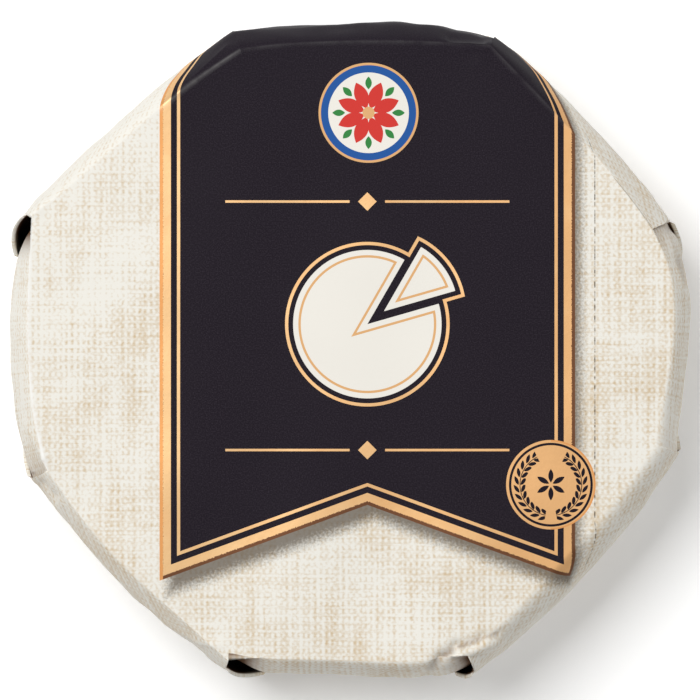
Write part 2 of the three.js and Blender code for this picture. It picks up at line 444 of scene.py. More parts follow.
def corner_place(sizes, index, levels):
    """A corner at each level, moved in along the line that halves it."""
    before = outward(index - 1)
    bisector = before + outward(index)
    bisector /= np.linalg.norm(bisector)
    corner = CORNERS[index % COUNT]
    move = corner_inset(sizes, index, levels) / bisector.dot(before)
    return np.array([corner.x, corner.y]) - move * bisector


def tuck(index, distance, levels):
    """How far a lapped panel is pushed in at a distance along it from one of its corners."""
    corner = CORNERS[index % COUNT]
    share = np.clip(1 - distance / corner.span, 0, None)
    return corner.tuck * share ** 2 * (1 - levels.soft[:, None] ** TUCK_FADE)


def panel_tuck(sizes, index, parts, levels):
    """How far a lapped panel is pushed in at each level, at parts of its length."""
    ends = corner_place(sizes, index + 1, levels) - corner_place(sizes, index, levels)
    length = np.linalg.norm(ends, axis=1)[:, None]
    return tuck(index, parts * length, levels) + tuck(index + 1, (1 - parts) * length, levels)


def panel_place(sizes, index, parts, levels):
    """Points of a panel at each level, at parts of the way from its first corner to its second."""
    start = corner_place(sizes, index, levels)
    end = corner_place(sizes, index + 1, levels)
    panel = PANELS[index % COUNT]
    arch = 4 * parts * (1 - parts)
    skewed = parts ** panel.skew
    out = np.zeros((len(levels.z), 1)) + panel.bulge * 4 * skewed * (1 - skewed)
    first = corner_inset(sizes, index, levels)
    last = corner_inset(sizes, index + 1, levels)
    out -= (panel_inset(sizes, index, levels, parts) - first - (last - first) * parts) * arch
    if index % 2:
        out -= panel_tuck(sizes, index, parts, levels)
    along = start[:, None, :] + (end - start)[:, None, :] * parts[..., None]
    return along + out[..., None] * outward(index)


def ripple(u, v, length, seed):
    """A smooth uneven field of waves about a length long, between about -1 and 1."""
    draw = np.random.default_rng(seed)
    total = np.zeros_like(u)
    for _ in range(WAVE_COUNT):
        turn = draw.uniform(0, 2 * math.pi)
        phase = draw.uniform(0, 2 * math.pi)
        pitch = 2 * math.pi / (length * draw.uniform(*WAVE_SPREAD))
        total += np.sin(pitch * (u * math.cos(turn) + v * math.sin(turn)) + phase)
    return total / math.sqrt(WAVE_COUNT)


def skin(sizes):
    """The skin in rows from the underside's middle to the top's: its points, their places on the flat
    sheet, how white each is made along the rim fold, by rubbed wear and a painted highlight, and how much
    painted shade it gets in pockets and hollows."""
    levels = side_levels(sizes)
    side, normals, worn, tucked = [], [], [], []
    for index in range(COUNT):
        steps = LAPPED_STEPS if index % 2 else LAPPING_STEPS
        parts = (1 - np.cos(np.linspace(0, math.pi, steps + 1))) / 2
        side.append(panel_place(sizes, index, parts, levels))
        tucked.append(panel_tuck(sizes, index, parts, levels) * (index % 2))
        normals += [outward(index)] * (steps + 1)
        worn += [PANELS[index].worn] * (steps + 1)
    side = np.concatenate([*side, side[0][:, :1]], axis=1)
    tucked = np.concatenate([*tucked, tucked[0][:, :1]], axis=1)
    normals = np.array(normals + normals[:1])
    worn = np.array(worn + worn[:1])
    foot, rim = side[0], side[-1]

    top_share = 1 - (np.arange(1, TOP_RINGS + 1) / TOP_RINGS) ** TOP_CROWDING
    top = rim * top_share[:, None, None]
    top_z = levels.z[-1] + millimetres(sizes.crown) * (1 - top_share ** 2)
    base_share = np.linspace(0, 1, BASE_RINGS, endpoint=False)
    base = foot * base_share[:, None, None]
    plan = np.concatenate([base, side, top])
    z = np.concatenate([np.zeros(BASE_RINGS), levels.z, top_z])
    places = np.dstack([plan, np.repeat(z[:, None], plan.shape[1], axis=1)])

    side_sheet = rim + levels.depth[:, None, None] * normals
    base_sheet = side_sheet[:1] + (foot - base)
    sheet = np.concatenate([base_sheet, side_sheet, top])
    under = np.full(BASE_RINGS, levels.depth[0])
    from_rim = np.concatenate([under, levels.depth, (1 - top_share) * rim.max()])
    # Rubbed wear and a painted highlight: a white line along the rim fold.
    lit_and_rubbed = worn * np.exp(-((from_rim / WORN_WIDTH) ** 2))[:, None]
    # Painted shade: darker where a panel is pushed in beside a corner and along the listed hollows, fading
    # down the side.
    painted_shade = np.pad(tucked, ((BASE_RINGS, TOP_RINGS), (0, 0))) / FULL_SHADE_TUCK
    high = np.clip(z / levels.z[-1], 0, 1)[:, None]
    painted_shade += fold_height(plan[..., 0], plan[..., 1], SHADES, 2) * high ** SHADE_FADE
    return places, sheet, {WEAR_AND_HIGHLIGHT: lit_and_rubbed, PAINTED_SHADE: painted_shade}


def grid_normals(places):
    """Outward directions of a grid of points that closes round its columns."""
    ring = places[:, :-1]
    around = np.roll(ring, -1, axis=1) - np.roll(ring, 1, axis=1)
    around = np.concatenate([around, around[:, :1]], axis=1)
    normals = np.cross(around, np.gradient(places, axis=0))
    normals[0], normals[-1] = (0, 0, -1), (0, 0, 1)
    return normals / np.linalg.norm(normals, axis=2, keepdims=True)


def fold_height(x, y, folds, power):
    """How far folds lift each place seen from above; power 1 gives sharp folds and 2 soft ones."""
    total = np.zeros_like(x)
    for fold in folds:
        run, rise = fold.end_x - fold.x, fold.end_y - fold.y
        part = ((x - fold.x) * run + (y - fold.y) * rise) / (run ** 2 + rise ** 2)
        part = np.clip(part, 0, 1)
        distance = np.hypot(x - fold.x - part * run, y - fold.y - part * rise)
        total += fold.height * np.exp(-((distance / fold.width) ** power))
    return total


def relief(sizes, places, sheet):
    """How far the loose paper stands out of the round's plain shape: waves, folds and dents."""
    x, y, z = places[..., 0], places[..., 1], places[..., 2]
    u, v = sheet[..., 0], sheet[..., 1]
    waves = ripple(u, v, WAVE_LENGTH, 3) * millimetres(sizes.ripple)
    wall = np.clip((millimetres(sizes.height) - z) / WAVE_FADE, 0, 1)
    waves += ripple(u, v, CRUMPLE_LENGTH, 8) * wall * millimetres(sizes.crumple)
    folds = fold_height(x, y, CREASES, 1) + fold_height(x, y, DENTS, 2)
    waist = millimetres(sizes.waist)
    low = np.clip((z - WAVE_FADE / 2) / WAVE_FADE, 0, 1)
    high = np.clip((z - waist) / WAVE_FADE, 0, 1)
    return waves * low + folds * high


def fold_grid(name, places, sheet, marks):
    """A flat grid folded so that its points go to their places, with its marks kept as attributes."""
    rows, columns = places.shape[:2]
    bpy.ops.object.select_all(action="DESELECT")
    bpy.ops.mesh.primitive_grid_add(x_subdivisions=columns - 1, y_subdivisions=rows - 1, size=1)
    piece = bpy.context.object
    piece.name = piece.data.name = name
    mesh = piece.data
    mesh.vertices.foreach_set("co", (places * MM).ravel())
    uv_map = mesh.uv_layers.new(name=SHEET_MAP)
    corners = np.empty(len(mesh.loops), np.int32)
    mesh.loops.foreach_get("vertex_index", corners)
    flat = sheet.reshape(-1, 2) / SHEET_SPAN + 0.5
    uv_map.data.foreach_set("uv", flat[corners].ravel())
    for mark, values in marks.items():
        mesh.attributes.new(mark, "FLOAT", "POINT").data.foreach_set("value", values.ravel())
    return piece


def close_seams(piece):
    """Joins the points of a folded grid that meet, drops loose points and edges, and shades it all smooth.
    """
    bpy.ops.object.mode_set(mode="EDIT")
    bpy.ops.mesh.select_all(action="SELECT")
    bpy.ops.mesh.remove_doubles(threshold=MERGE * MM)
    bpy.ops.mesh.delete_loose()
    bpy.ops.object.mode_set(mode="OBJECT")
    bpy.ops.object.shade_smooth()


def lap_sheet(sizes, quarter, places):
    """Places on the flat sheet of points of one fold of the underside, which a diagonal panel runs into."""
    panel = 2 * quarter
    levels = side_levels(sizes)
    middle = panel_place(sizes, panel, np.array([0.5]), levels)[:, 0]
    out = outward(panel)
    along = np.array([-out[1], out[0]])
    reach = middle[-1].dot(out) + levels.depth[0] + middle[0].dot(out)
    return places.dot(along)[:, None] * along + (reach - places.dot(out))[:, None] * out


def lap_cutter(sizes, quarter):
    """A wedge that takes the slope of one fold of the underside out of the wrap."""
    bpy.ops.object.select_all(action="DESELECT")
    bpy.ops.mesh.primitive_cube_add(size=1)
    cutter = bpy.context.object
    rise = millimetres(sizes.lap_rise)
    heights = {-LAP_OVER: 0.0, LAP_REACH: rise}
    block = [
        (x, y, z)
        for x in heights
        for y in (LAP_OVER, LAP_OVER + LAP_REACH)
        for z in (-LAP_CLEAR, heights[x])
    ]
    cutter.data.vertices.foreach_set("co", (np.array(block) * MM).ravel())
    cutter.data.materials.append(coated_paper(bpy.context.scene))
    turn = quarter * math.pi / 2
    bpy.ops.object.mode_set(mode="EDIT")
    bpy.ops.mesh.select_all(action="SELECT")
    bpy.ops.transform.rotate(value=-turn, orient_axis="Z", center_override=(0, 0, 0))
    bpy.ops.object.mode_set(mode="OBJECT")
    return cutter


def fold_underside(piece, sizes):
    """Cuts the four folds of the underside, which overlap in turn round a flat middle."""
    for quarter in range(4):
        cutter = lap_cutter(sizes, quarter)
        bpy.ops.object.select_all(action="DESELECT")
        bpy.context.view_layer.objects.active = piece
        piece.select_set(True)
        cut = piece.modifiers.new("lap", "BOOLEAN")
        cut.operation = "DIFFERENCE"
        cut.solver = "MANIFOLD"
        cut.object = cutter
        bpy.ops.object.modifier_apply(modifier=cut.name)
        bpy.data.objects.remove(cutter)
    mesh = piece.data
    uv_map = mesh.uv_layers[SHEET_MAP].data
    limit = sizes.lap_rise
    for face in mesh.polygons:
        points = [mesh.vertices[index].co for index in face.vertices]
        if max(point.z for point in points) > limit:
            continue
        x, y = face.center.x / MM, face.center.y / MM
        quarter = lap_quarter(x, y)
        flat = lap_sheet(sizes, quarter, np.array([(point.x, point.y) for point in points]) / MM)
        for loop, place in zip(face.loop_indices, flat / SHEET_SPAN + 0.5):
            uv_map[loop].uv = place


def lap_quarter(x, y):
    """Which fold of the underside a place belongs to."""
    if y > LAP_OVER and x > -LAP_OVER:
        return 0
    if x < -LAP_OVER and y > -LAP_OVER:
        return 1
    if y < -LAP_OVER and x < LAP_OVER:
        return 2
    return 3


class BRIE_OT_paper_wrap(bpy.types.Operator):
    """Makes the skin of paper round the cheese"""

    bl_idname = "brie.paper_wrap"
    bl_label = "Paper wrap"

    def execute(self, context):
        sizes = context.scene.brie_sizes
        places, sheet, marks = skin(sizes)
        places = places + grid_normals(places) * relief(sizes, places, sheet)[..., None]
        piece = fold_grid("paper_wrap", places, sheet, marks)
        close_seams(piece)
        piece.data.materials.append(coated_paper(context.scene))
        fold_underside(piece, sizes)
        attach(piece, BODY)
        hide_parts(NODE)
        return {"FINISHED"}


def flap_loop(outer, tip, inner, forward):
    """Rows of points round a flap: out along its outer face, round its edge and back along the inner."""
    loop = np.concatenate([outer, tip, inner[:, ::-1], outer[:, :1]], axis=1)
    return loop if forward else loop[:, ::-1]


def flap_grid(sizes, index):
    """One flap: the pleat of the even panel at a corner, laid over the odd panel beside it."""
    forward = index % 2 == 1
    lapped, owner = (index, index - 1) if forward else (index - 1, index)
    corner = CORNERS[index]
    levels = side_levels(sizes)
    rim = Levels(*(values[-1:] for values in levels))
    width = np.minimum((levels.depth - corner.start) * corner.slope, corner.longest)
    keep = (width > FLAP_SHORTEST) & (levels.z > FLAP_FLOOR)
    levels = Levels(*(values[keep] for values in levels))
    width = width[keep][:, None]
    along = np.linspace(0, 1, FLAP_STEPS + 1)

    thickness = millimetres(sizes.flap)
    pressed = np.where(levels.upper, 0, levels.soft)[:, None]
    part = along * width / corner.longest
    gap = tuck(index, along * width, levels) * (1 - part ** TIP_CLOSE)
    height = gap + corner.lift * (1 - pressed) * 4 * part * (1 - part) + thickness * along
    ends = corner_place(sizes, lapped, levels) - corner_place(sizes, lapped + 1, levels)
    parts = along * width / np.linalg.norm(ends, axis=1)[:, None]
    under = panel_place(sizes, lapped, parts if forward else 1 - parts, levels)
    outer = under + height[..., None] * outward(lapped)
    inner = outer - thickness * outward(lapped)
    inner[:, 0] = outer[:, 0] - thickness * outward(owner)
    middle = (outer + inner) / 2
    tip = middle[:, -1:] + (outer[:, -1:] - outer[:, -2:-1]) * TIP_ROUND
    rows = [middle[:1], middle[-1:]]
    start, end = (flap_loop(row, row[:, -1:], row, forward) for row in rows)
    plan = np.concatenate([start, flap_loop(outer, tip, inner, forward), end])
    z = np.concatenate([levels.z[:1], levels.z, levels.z[-1:]])
    places = np.dstack([plan, np.repeat(z[:, None], plan.shape[1], axis=1)])

    apex = corner_place(sizes, index, rim)[0]
    out = outward(owner)
    side = np.array([-out[1], out[0]]) * (1 if forward else -1)
    flat = apex + levels.depth[:, None, None] * out + (width * along)[..., None] * side
    flat = np.concatenate([flat[:1], flat, flat[-1:]])
    # Painted shade on the inside of the flap, lighter near its lip and its tip.
    shade_amount = (1 - along ** LIP_FADE) * (1 - TIP_LIGHT * part)
    shade_amount = np.concatenate([shade_amount[:1], shade_amount, shade_amount[-1:]])
    painted_shade = flap_loop(0 * shade_amount, 0 * shade_amount[:, :1], shade_amount, forward)
    return places, flap_loop(flat, flat[:, -1:], flat, forward), {PAINTED_SHADE: painted_shade}


class BRIE_OT_corner_flaps(bpy.types.Operator):
    """Makes the eight pleated flaps that lap over the side panels"""

    bl_idname = "brie.corner_flaps"
    bl_label = "Corner flaps"

    def execute(self, context):
        sizes = context.scene.brie_sizes
        flaps = [fold_grid("corner_flaps", *flap_grid(sizes, index)) for index in range(COUNT)]
        bpy.ops.object.select_all(action="DESELECT")
        for flap in flaps:
            flap.select_set(True)
        context.view_layer.objects.active = flaps[0]
        bpy.ops.object.join()
        piece = context.object
        piece.name = piece.data.name = "corner_flaps"
        close_seams(piece)
        piece.data.materials.append(coated_paper(context.scene))
        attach(piece, BODY)
        return {"FINISHED"}


# The print.
def sheet_place(tree):
    """The place on the flat sheet in millimetres from the middle of the top face."""
    flat = add(tree, "UVMap", uv_map=SHEET_MAP)
    spans, half = (SHEET_SPAN, SHEET_SPAN, 0), (-SHEET_SPAN / 2, -SHEET_SPAN / 2, 0)
    return add(tree, "VectorMath", {0: flat, 1: spans, 2: half}, operation="MULTIPLY_ADD")


def from_point(tree, place, x, y):
    """The place seen from a point of the sheet, and its parts across and up."""
    seen = add(tree, "VectorMath", {0: place, 1: (x, y, 0)}, operation="SUBTRACT")
    parts = add(tree, "SeparateXYZ", {0: seen})
    return seen, parts.outputs["X"], parts.outputs["Y"]


def noise_field(tree, place, stretch, low, high, detail=3.0):
    """Even noise, stretched along the sheet by so many cells a millimetre, spread over 0 to 1."""
    cells = add(tree, "VectorMath", {0: place, 1: (*stretch, 0)}, operation="MULTIPLY")
    noise = add(tree, "TexNoise", {"Vector": cells, "Scale": 1.0, "Detail": detail, "Roughness": 0.6})
    return add(tree, "MapRange", {0: noise.outputs[0], 1: low, 2: high})


def linen_colour(tree, place, scene):
    """The printed linen: broken tan threads on a warm white ground, closer up the sheet than across it,
    with a painted highlight that makes it paler to the upper left.
    """
    colours = scene.brie_colours
    across = millimetres(scene.brie_print.thread)
    up = across * ROW_SHARE
    wobble = add(tree, "TexNoise", {"Vector": place, "Scale": THREAD_BEND_SCALE, "Detail": 2.0})
    bend = {0: wobble.outputs["Color"], 1: (THREAD_BEND, THREAD_BEND, 0), 2: place}
    bent = add(tree, "VectorMath", bend, operation="MULTIPLY_ADD")
    turns = (2 * math.pi / across, math.pi / up, 0)
    phase = add(tree, "VectorMath", {0: bent, 1: turns}, operation="MULTIPLY")
    waves = add(tree, "VectorMath", {0: phase}, operation="SINE")
    parts = add(tree, "SeparateXYZ", {0: waves})
    knots = add(tree, "Math", {0: parts.outputs["X"], 1: parts.outputs["Y"]}, operation="MULTIPLY")
    rows = add(tree, "Math", {0: parts.outputs["Y"], 1: parts.outputs["Y"]}, operation="MULTIPLY")
    columns = {0: parts.outputs["X"], 1: COLUMN_WEIGHT, 2: THREAD_GROUND}
    lines = add(tree, "Math", columns, operation="MULTIPLY_ADD")
    total = add(tree, "Math", {0: knots, 1: KNOT_WEIGHT, 2: lines}, operation="MULTIPLY_ADD")
    total = add(tree, "Math", {0: rows, 1: ROW_WEIGHT, 2: total}, operation="MULTIPLY_ADD")
    threads = (
        ((1 / across, 1 / 14), 0.5),
        ((1 / 14, 1 / up), 0.4),
        ((1 / 2.5, 1 / up), 0.2),
        ((1 / 11, 1 / 11), 0.5),
        ((1.9, 2.6), 0.6),
    )
    for stretch, weight in threads:
        field = noise_field(tree, place, stretch, *EVEN_NOISE)
        total = add(tree, "Math", {0: field, 1: weight, 2: total}, operation="MULTIPLY_ADD")
    # Painted highlight: the linen is paler toward the upper left, where the key light's sheen falls.
    up_left = add(tree, "VectorMath", {0: place, 1: (-1, 1, 0)}, operation="DOT_PRODUCT").outputs["Value"]
    paler = add(tree, "MapRange", {0: up_left, 1: PALE_FROM, 2: PALE_TO, 3: 0.0, 4: PALE_BY})
    total = add(tree, "Math", {0: total, 1: paler}, operation="SUBTRACT")
    amount = add(tree, "Clamp", {0: total, 1: 0.0, 2: THREAD_MOST})
    return add(tree, "Mix", {0: amount, 1: [*colours.paper, 1], 2: [*colours.thread, 1]}, data_type="RGBA")


def banner_distance(tree, place, sizes, right=0.0, down=0.0):
    """Distance outside the banner's edge, with the banner moved to the right and down."""
    middle = millimetres(sizes.banner_middle) + right
    _, across, up = from_point(tree, place, middle, millimetres(sizes.notch) - down)
    apart = add(tree, "Math", {0: across}, operation="ABSOLUTE")
    side = add(tree, "Math", {0: apart, 1: millimetres(sizes.banner_width) / 2}, operation="SUBTRACT")
    tail = add(tree, "Math", {0: apart, 1: -TAIL_SLOPE}, operation="MULTIPLY")
    below = add(tree, "Math", {0: tail, 1: up}, operation="SUBTRACT")
    square = add(tree, "Math", {0: below, 1: math.cos(math.atan(TAIL_SLOPE))}, operation="MULTIPLY")
    return add(tree, "Math", {0: side, 1: square}, operation="MAXIMUM")


def sector_distance(tree, x, y, heading, half_angle):
    """Distance outside a wedge that opens from the point along a heading."""
    ahead = (math.cos(heading), math.sin(heading))
    along = add(tree, "Math", {0: x, 1: ahead[0]}, operation="MULTIPLY")
    along = add(tree, "Math", {0: y, 1: ahead[1], 2: along}, operation="MULTIPLY_ADD")
    across = add(tree, "Math", {0: x, 1: -ahead[1]}, operation="MULTIPLY")
    across = add(tree, "Math", {0: y, 1: ahead[0], 2: across}, operation="MULTIPLY_ADD")
    across = add(tree, "Math", {0: across}, operation="ABSOLUTE")
    inner = add(tree, "Math", {0: along, 1: math.sin(half_angle)}, operation="MULTIPLY")
    outer = add(tree, "Math", {0: across, 1: math.cos(half_angle)}, operation="MULTIPLY")
    return add(tree, "Math", {0: outer, 1: inner}, operation="SUBTRACT")


def wheel_distance(tree, place):
    """Distance outside the drawing of a wheel of cheese with one slice drawn out of it."""
    seen, x, y = from_point(tree, place, *WHEEL_PLACE)
    reach = add(tree, "VectorMath", {0: seen}, operation="LENGTH").outputs["Value"]
    disc = add(tree, "Math", {0: reach, 1: WHEEL_RADIUS}, operation="SUBTRACT")
    missing = sector_distance(tree, x, y, SLICE_HEADING, SLICE_HALF)
    missing = add(tree, "Math", {0: missing, 1: -1.0}, operation="MULTIPLY")
    body = add(tree, "Math", {0: disc, 1: missing}, operation="MAXIMUM")
    out_x = WHEEL_PLACE[0] + SLICE_OUT * math.cos(SLICE_HEADING)
    out_y = WHEEL_PLACE[1] + SLICE_OUT * math.sin(SLICE_HEADING)
    seen, x, y = from_point(tree, place, out_x, out_y)
    reach = add(tree, "VectorMath", {0: seen}, operation="LENGTH").outputs["Value"]
    disc = add(tree, "Math", {0: reach, 1: WHEEL_RADIUS}, operation="SUBTRACT")
    sector = sector_distance(tree, x, y, SLICE_HEADING, SLICE_HALF)
    wedge = add(tree, "Math", {0: disc, 1: sector}, operation="MAXIMUM")
    return add(tree, "Math", {0: body, 1: wedge}, operation="MINIMUM")


def leaf_ring(tree, seen, x, y, leaf, count, radius, tilt=0.0, turned=0.0):
    """Marks a ring of pointed leaves round a point, each tilted from pointing straight out."""
    half_length, half_width = leaf
    step = 2 * math.pi / count
    reach = add(tree, "VectorMath", {0: seen}, operation="LENGTH").outputs["Value"]
    angle = add(tree, "Math", {0: y, 1: x}, operation="ARCTAN2")
    angle = add(tree, "Math", {0: angle, 1: turned}, operation="ADD")
    turn = add(tree, "Math", {0: angle, 1: step}, operation="FLOORED_MODULO")
    turn = add(tree, "Math", {0: turn, 1: step / 2}, operation="SUBTRACT")
    out = add(tree, "Math", {0: turn}, operation="COSINE")
    out = add(tree, "Math", {0: out, 1: reach, 2: -radius}, operation="MULTIPLY_ADD")
    side = add(tree, "Math", {0: turn}, operation="SINE")
    side = add(tree, "Math", {0: side, 1: reach}, operation="MULTIPLY")
    own = add(tree, "CombineXYZ", {0: out, 1: side})
    own = add(tree, "VectorRotate", {"Vector": own, "Angle": -tilt}, rotation_type="Z_AXIS")
    parts = add(tree, "SeparateXYZ", {0: own})
    square = add(tree, "Math", {0: parts.outputs["X"], 1: 2.0}, operation="POWER")
    curve = -half_width / half_length ** 2
    blade = add(tree, "Math", {0: square, 1: curve, 2: half_width}, operation="MULTIPLY_ADD")
    across = add(tree, "Math", {0: parts.outputs["Y"]}, operation="ABSOLUTE")
    return add(tree, "Math", {0: across, 1: blade}, operation="LESS_THAN")


def any_of(tree, masks):
    """Where any of the masks is set."""
    total = masks[0]
    for mask in masks[1:]:
        total = add(tree, "Math", {0: total, 1: mask}, operation="MAXIMUM")
    return total


def rule_mask(tree, place, up):
    """A rule in two parts with a lozenge between them."""
    _, x, y = from_point(tree, place, WHEEL_PLACE[0], up)
    apart = add(tree, "Math", {0: x}, operation="ABSOLUTE")
    along = add(tree, "Math", {0: apart, 1: RULE_MIDDLE, 2: RULE_HALF}, operation="COMPARE")
    thin = add(tree, "Math", {0: y, 1: 0.0, 2: RULE_THICKNESS / 2}, operation="COMPARE")
    rule = add(tree, "Math", {0: along, 1: thin}, operation="MULTIPLY")
    tall = add(tree, "Math", {0: y}, operation="ABSOLUTE")
    both = add(tree, "Math", {0: apart, 1: tall}, operation="ADD")
    lozenge = add(tree, "Math", {0: both, 1: LOZENGE_HALF}, operation="LESS_THAN")
    return any_of(tree, [rule, lozenge])


def stitch_mask(tree, place):
    """A fine broken line that runs up the sheet beside the banner."""
    _, x, y = from_point(tree, place, STITCH_PLACE, 0.0)
    thin = add(tree, "Math", {0: x, 1: 0.0, 2: STITCH_WIDTH / 2}, operation="COMPARE")
    along = add(tree, "Math", {0: y, 1: 0.0, 2: STITCH_UP}, operation="COMPARE")
    broken = noise_field(tree, place, (0.3, 1.4), 0.4, 0.6)
    line = add(tree, "Math", {0: thin, 1: along}, operation="MULTIPLY")
    return add(tree, "Math", {0: line, 1: broken}, operation="MULTIPLY")


def rosette_colour(tree, place, colour, scene):
    """A rosette laid over a colour: red petals and green leaves on an ivory disc, ringed blue and gold."""
    colours = scene.brie_colours
    seen, x, y = from_point(tree, place, *ROSETTE_PLACE)
    reach = add(tree, "VectorMath", {0: seen}, operation="LENGTH").outputs["Value"]
    half_step = math.pi / ROSETTE_COUNT
    radii = (ROSETTE_RADIUS, ROSETTE_RADIUS - RULE_THICKNESS, ROSETTE_DISC, ROSETTE_HEART)
    rim, ring, disc, heart = (
        add(tree, "Math", {0: reach, 1: radius}, operation="LESS_THAN") for radius in radii
    )
    leaves = leaf_ring(
        tree, seen, x, y, ROSETTE_LEAF, ROSETTE_COUNT, ROSETTE_LEAVES, turned=half_step
    )
    petals = leaf_ring(tree, seen, x, y, ROSETTE_PETAL, ROSETTE_COUNT, ROSETTE_MIDDLE)
    layers = (
        (rim, colours.gold),
        (ring, colours.blue),
        (disc, colours.ivory),
        (leaves, colours.green),
        (petals, colours.red),
        (heart, colours.gold),
    )
    for mask, ink in layers:
        colour = add(tree, "Mix", {0: mask, 1: colour, 2: [*ink, 1]}, data_type="RGBA")
    return colour


def seal_masks(tree, place, radius):
    """The seal's disc, its shaded edge, and its dark ring, wreath and flower."""
    seen, x, y = from_point(tree, place, *SEAL_PLACE)
    reach = add(tree, "VectorMath", {0: seen}, operation="LENGTH").outputs["Value"]
    disc = add(tree, "Math", {0: reach, 1: radius}, operation="LESS_THAN")
    margin = EDGE_WIDTH / 4
    shaded = add(tree, "Math", {0: reach, 1: radius - margin, 2: margin}, operation="COMPARE")
    right = add(tree, "Math", {0: x, 1: 0.0}, operation="GREATER_THAN")
    shaded = add(tree, "Math", {0: shaded, 1: right}, operation="MULTIPLY")
    ring = add(tree, "Math", {0: reach, 1: radius * SEAL_RING, 2: RULE_THICKNESS / 2}, operation="COMPARE")
    apart = add(tree, "Math", {0: x}, operation="ABSOLUTE")
    angle = add(tree, "Math", {0: y, 1: apart}, operation="ARCTAN2")
    branch = add(tree, "Math", {0: angle, 1: WREATH_MIDDLE, 2: WREATH_HALF}, operation="COMPARE")
    leaves = [
        leaf_ring(tree, seen, apart, y, WREATH_LEAF, WREATH_COUNT, radius * share, tilt)
        for share, tilt in WREATH_ROWS
    ]
    stem = add(tree, "Math", {0: reach, 1: radius * WREATH_STEM, 2: STEM_HALF}, operation="COMPARE")
    wreath = add(tree, "Math", {0: any_of(tree, [*leaves, stem]), 1: branch}, operation="MULTIPLY")
    flower = leaf_ring(tree, seen, x, y, SEAL_PETAL, SEAL_PETALS, radius * SEAL_FLOWER)
    return disc, shaded, any_of(tree, [ring, wreath, flower])


def gold_colour(tree, place, edge, scene):
    """Gold ink: paler to the left and in patches, with an outer edge that is orange at left, else brown."""
    colours = scene.brie_colours
    sizes = scene.brie_print
    half = millimetres(sizes.banner_width) / 2
    _, across, _ = from_point(tree, place, millimetres(sizes.banner_middle), 0.0)
    patch = noise_field(tree, place, (GOLD_PATCH, GOLD_PATCH), *EVEN_NOISE)
    lit = add(tree, "Math", {0: across, 1: -GOLD_LEAN / half, 2: patch}, operation="MULTIPLY_ADD")
    gold = add(tree, "Mix", {0: lit, 1: [*colours.gold, 1], 2: [*colours.light_gold, 1]}, data_type="RGBA")
    speck = noise_field(tree, place, (GOLD_SPECK, GOLD_SPECK), *SPECK_NOISE)
    speck = add(tree, "Math", {0: speck, 1: SPECK_DEPTH}, operation="MULTIPLY")
    gold = add(tree, "Mix", {0: speck, 1: gold, 2: [*colours.orange, 1]}, data_type="RGBA")
    at_left = add(tree, "Math", {0: across, 1: EDGE_WIDTH - half}, operation="LESS_THAN")
    inks = {0: at_left, 1: [*colours.brown, 1], 2: [*colours.orange, 1]}
    shade = add(tree, "Mix", inks, data_type="RGBA")
    rough = noise_field(tree, place, (EDGE_GRAIN, EDGE_GRAIN), *EVEN_NOISE)
    ragged = add(tree, "Math", {0: rough, 1: EDGE_RAGGED, 2: edge}, operation="MULTIPLY_ADD")
    on_edge = add(tree, "Math", {0: ragged, 1: EDGE_RAGGED / 2 - EDGE_WIDTH}, operation="GREATER_THAN")
    return add(tree, "Mix", {0: on_edge, 1: gold, 2: shade}, data_type="RGBA")


